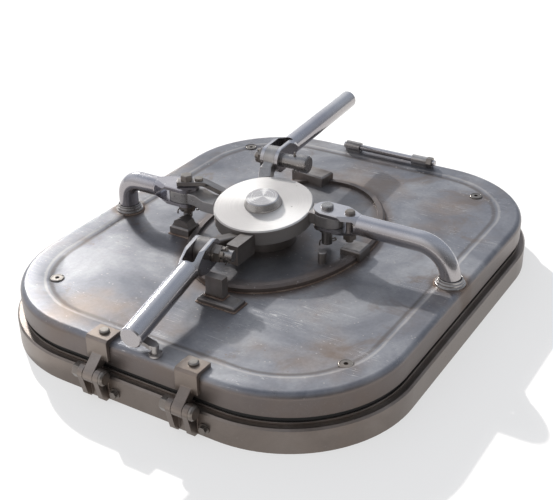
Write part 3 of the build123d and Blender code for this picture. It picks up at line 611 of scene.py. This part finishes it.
def onto(piece, origin, way):                       # stand a piece made along +Z on origin, facing way
    turn = Vector((0, 0, 1)).rotation_difference(Vector(way).normalized()).to_matrix().to_4x4()
    piece.data.transform(Matrix.Translation(mm(*origin)) @ turn)
    return piece


def along(origin, way, distance):
    return tuple(start + step * distance for start, step in zip(origin, way))


def hinge(name):                                    # a joint's place in mm, and its axis
    joint = jointOf[name]
    return tuple(value * 1000 for value in joint["pos_m"]), joint["axis"]


threadPlan = {"around": 32, "across": 6, "pitch": 1.75, "wire": 0.75, "sides": 40, "coreInset": 0.9,
              "ringInset": 0.7, "tip": 1.2, "tipInset": 2.0, "runout": 1.5, "lead": 0.5}
threads = threadTree(threadPlan)


def studCore(name, radius, length, plan):           # a plain core with a chamfered tip
    sides, inner = plan["sides"], radius - plan["coreInset"]
    rows = [(inner, 0), (inner, length - plan["tip"]), (radius - plan["tipInset"], length)]
    work = bmesh.new()
    turns = [side * math.tau / sides for side in range(sides)]
    loops = [[work.verts.new(mm(wide * math.cos(turn), wide * math.sin(turn), z)) for turn in turns]
             for wide, z in rows]
    for low, high in zip(loops, loops[1:]):
        for side in range(sides):
            after = (side + 1) % sides
            work.faces.new((low[side], low[after], high[after], high[side]))
    work.faces.new(list(reversed(loops[0])))
    work.faces.new(loops[-1])
    mesh = bpy.data.meshes.new(name)
    work.to_mesh(mesh)
    work.free()
    smooth(mesh)
    return bpy.data.objects.new(name, mesh)


def threadedStud(name, body, origin, way, radius, length, threaded):
    plan = threadPlan
    settle(onto(studCore(name, radius, length, plan), origin, way), body, "pin")
    values = {"Pitch": plan["pitch"] / 1000, "Radius": (radius - plan["ringInset"]) / 1000,
              "Wire": plan["wire"] / 1000, "Count": int((threaded - plan["runout"]) / plan["pitch"]),
              "Finish": finishes["pin"]}
    source = bpy.data.objects.new("threadSource", bpy.data.meshes.new("threadSource"))
    rings = bakeTree(source, threads, values, name + "_thread")
    rings.data.transform(Matrix.Translation(mm(0, 0, length - threaded + plan["lead"])))
    settle(onto(rings, origin, way), body, "pin")


frontPin, frontAxis = hinge("front_handle_lift")
backPin, backAxis = hinge("back_handle_lift")
leftPin, rightPin = (-127, -35), (65, -2)
down, upward, sideways = (0, 0, -1), (0, 0, 1), (0.85, 0.53, 0)
studPlan = {
    "left_stud": {"body": "left_crank", "origin": (*leftPin, 91.5), "way": down,
                  "radius": 6.2, "length": 11, "threaded": 10.5},
    "back_stud": {"body": "back_lever", "origin": along(backPin, backAxis, -24.5),
                  "way": tuple(-share for share in backAxis), "radius": 6.4, "length": 3.6, "threaded": 3.4},
}
for name, plan in studPlan.items():
    threadedStud(name, **plan)
print("threads ready")


# split pins: a wire through a pin, looped at one end and bent over at the other
splitShape = {  # each point: how far out past the pin, and how far over towards the bent leg
    "wire": 1.0, "loop": ((-0.5, 2.5), (3.0, 2.2), (4.2, 0.0), (3.0, -2.2), (0.0, -0.6)),
    "bend": ((-1.0, 0.0), (1.6, 1.6)), "legOut": 1.8}


def splitPin(name, body, centre, through, droop, reach, leg):
    shape = splitShape
    centre = Vector(centre)
    through = Vector(through).normalized()
    droop = Vector(droop).normalized()
    tail = shape["bend"] + ((shape["legOut"], leg),)
    points = [centre + through * (reach + out) + droop * over for out, over in shape["loop"]]
    points += [centre - through * (reach + out) + droop * over for out, over in tail]
    curve = bpy.data.curves.new(name, "CURVE")
    curve.dimensions = "3D"
    curve.bevel_depth = shape["wire"] / 1000
    curve.bevel_resolution = 3
    curve.use_fill_caps = True
    spline = curve.splines.new("NURBS")
    spline.points.add(len(points) - 1)
    for spot, place in zip(spline.points, points):
        spot.co = mm(*place) + (1,)
    spline.order_u = 3
    spline.use_endpoint_u = True
    spline.resolution_u = 8
    source = bpy.data.objects.new(name + "_path", curve)
    collection.objects.link(source)
    settle(evaluated(source, name, 60), body, "wire")


splitPlan = {
    "right_split_pin": {"body": "right_crank", "centre": (*rightPin, 84), "through": sideways,
                        "droop": down, "reach": 7.5, "leg": 8.5},
    "front_split_pin": {"body": "front_lever", "centre": along(frontPin, frontAxis, -30),
                        "through": upward, "droop": (0.2, -1, 0), "reach": 7.2, "leg": 7},
    "back_split_pin": {"body": "back_lever", "centre": along(backPin, backAxis, 31),
                       "through": upward, "droop": (0.3, -1, 0), "reach": 9.9, "leg": 8},
    "left_split_pin": {"body": "left_crank", "centre": (*leftPin, 94), "through": sideways,
                       "droop": down, "reach": 11.5, "leg": 7},
}
for name, plan in splitPlan.items():
    splitPin(name, **plan)
print("split pins ready")

cameraPlan = {"place": (0.6167, -1.0015, 0.6976), "aim": (-0.0563, 0.0709, 0.0), "roll": -1.029,
              "lens": 66.77, "sensor": 36, "farthest": 50}


def setCamera(plan):
    camera = bpy.data.objects.new("camera", bpy.data.cameras.new("camera"))
    collection.objects.link(camera)
    camera.data.lens = plan["lens"]
    camera.data.sensor_width = plan["sensor"]
    camera.data.clip_end = plan["farthest"]
    back = (Vector(plan["place"]) - Vector(plan["aim"])).normalized()
    right = Vector((0, 0, 1)).cross(back).normalized()
    up = back.cross(right)
    roll = math.radians(plan["roll"])
    across = right * math.cos(roll) + up * math.sin(roll)
    rise = up * math.cos(roll) - right * math.sin(roll)
    turn = Matrix((across, rise, back)).transposed().to_4x4()
    camera.matrix_world = Matrix.Translation(plan["place"]) @ turn
    bpy.context.scene.camera = camera


floorPlan = {"size": 60, "bounce": 0.5, "pale": 0.93, "white": 0.62}


def setFloor(plan):
    size = plan["size"]
    corners = [(-size, -size, 0), (size, -size, 0), (size, size, 0), (-size, size, 0)]
    mesh = bpy.data.meshes.new("floor")
    mesh.from_pydata(corners, [], [(0, 1, 2, 3)])
    floor = bpy.data.objects.new("floor", mesh)
    collection.objects.link(floor)
    material, paint = startFinish("pale floor")
    camera, gloss, through = (paint.add("ShaderNodeLightPath", output=kind)
                              for kind in ("Is Camera Ray", "Is Glossy Ray", "Is Transmission Ray"))
    seen = paint.maths("MINIMUM", camera + gloss + through, 1.0)
    tone = paint.blend(seen, solid(grey(plan["bounce"])), solid(grey(plan["pale"])))
    lit = paint.add("ShaderNodeBsdfPrincipled", {}, {
        "Base Color": tone, "Roughness": 0.9, "Specular IOR Level": 0.0})
    white = paint.add("ShaderNodeEmission", {}, {"Color": solid(grey(1)), "Strength": 1.0})
    mixed = paint.add("ShaderNodeMixShader", {}, {0: seen * plan["white"], 1: lit, 2: white})
    paint.add("ShaderNodeOutputMaterial", {}, {"Surface": mixed})
    mesh.materials.append(material)


lightPlan = {
    "from": (-1.56, 1.14, 1.0), "colour": (1.0, 0.965, 0.92), "sunStrength": 6.8, "sunAngle": 0.9,
    "glintStrength": 0.85, "glintAngle": 8,
    "fillFrom": (-0.55, -0.85, 0.12), "fill": 0.6, "fillColour": (1.0, 0.93, 0.87),
    "sky": 0.78, "skyStops": [(0.05, (0.16, 0.16, 0.165)), (0.24, (0.30, 0.30, 0.31)),
                              (0.5, (0.48, 0.50, 0.54)), (0.86, (0.42, 0.45, 0.52)),
                              (0.95, (0.72, 0.74, 0.79)), (1.0, (1.1, 1.08, 1.05))]}


def addSun(name, toLight, strength, angle, colour):
    sun = bpy.data.objects.new(name, bpy.data.lights.new(name, "SUN"))
    sun.data.energy = strength
    sun.data.angle = math.radians(angle)
    sun.data.color = colour
    sun.rotation_euler = toLight.to_track_quat("Z", "Y").to_euler()
    collection.objects.link(sun)
    return sun


def setLights(plan):
    toLight = Vector(plan["from"]).normalized()
    key = addSun("key", toLight, plan["sunStrength"], plan["sunAngle"], plan["colour"])
    key.visible_glossy = False                      # its glare on bare metal comes from the softer glint
    addSun("glint", toLight, plan["glintStrength"], plan["glintAngle"], plan["colour"])
    world = bpy.data.worlds.new("soft sky")
    bpy.context.scene.world = world
    world.use_nodes = True
    paint = Paint(world.node_tree)
    way = paint.add("ShaderNodeTexCoord", output="Generated")
    sunward = paint.vector("DOT_PRODUCT", way, tuple(toLight), "Value")
    sky = paint.ramp(sunward * 0.5 + 0.5, plan["skyStops"])
    fillward = paint.vector("DOT_PRODUCT", way, tuple(Vector(plan["fillFrom"]).normalized()), "Value")
    fill = paint.step(fillward, 0.35, 0.95) * plan["fill"]
    sky = paint.blend(fill, sky, solid(plan["fillColour"]), "ADD")
    glow = paint.add("ShaderNodeBackground", {}, {"Color": sky, "Strength": plan["sky"]})
    paint.add("ShaderNodeOutputWorld", {}, {"Surface": glow})


setCamera(cameraPlan)
setFloor(floorPlan)
setLights(lightPlan)
bpy.context.scene.view_settings.view_transform = "Standard"
print("stage ready")
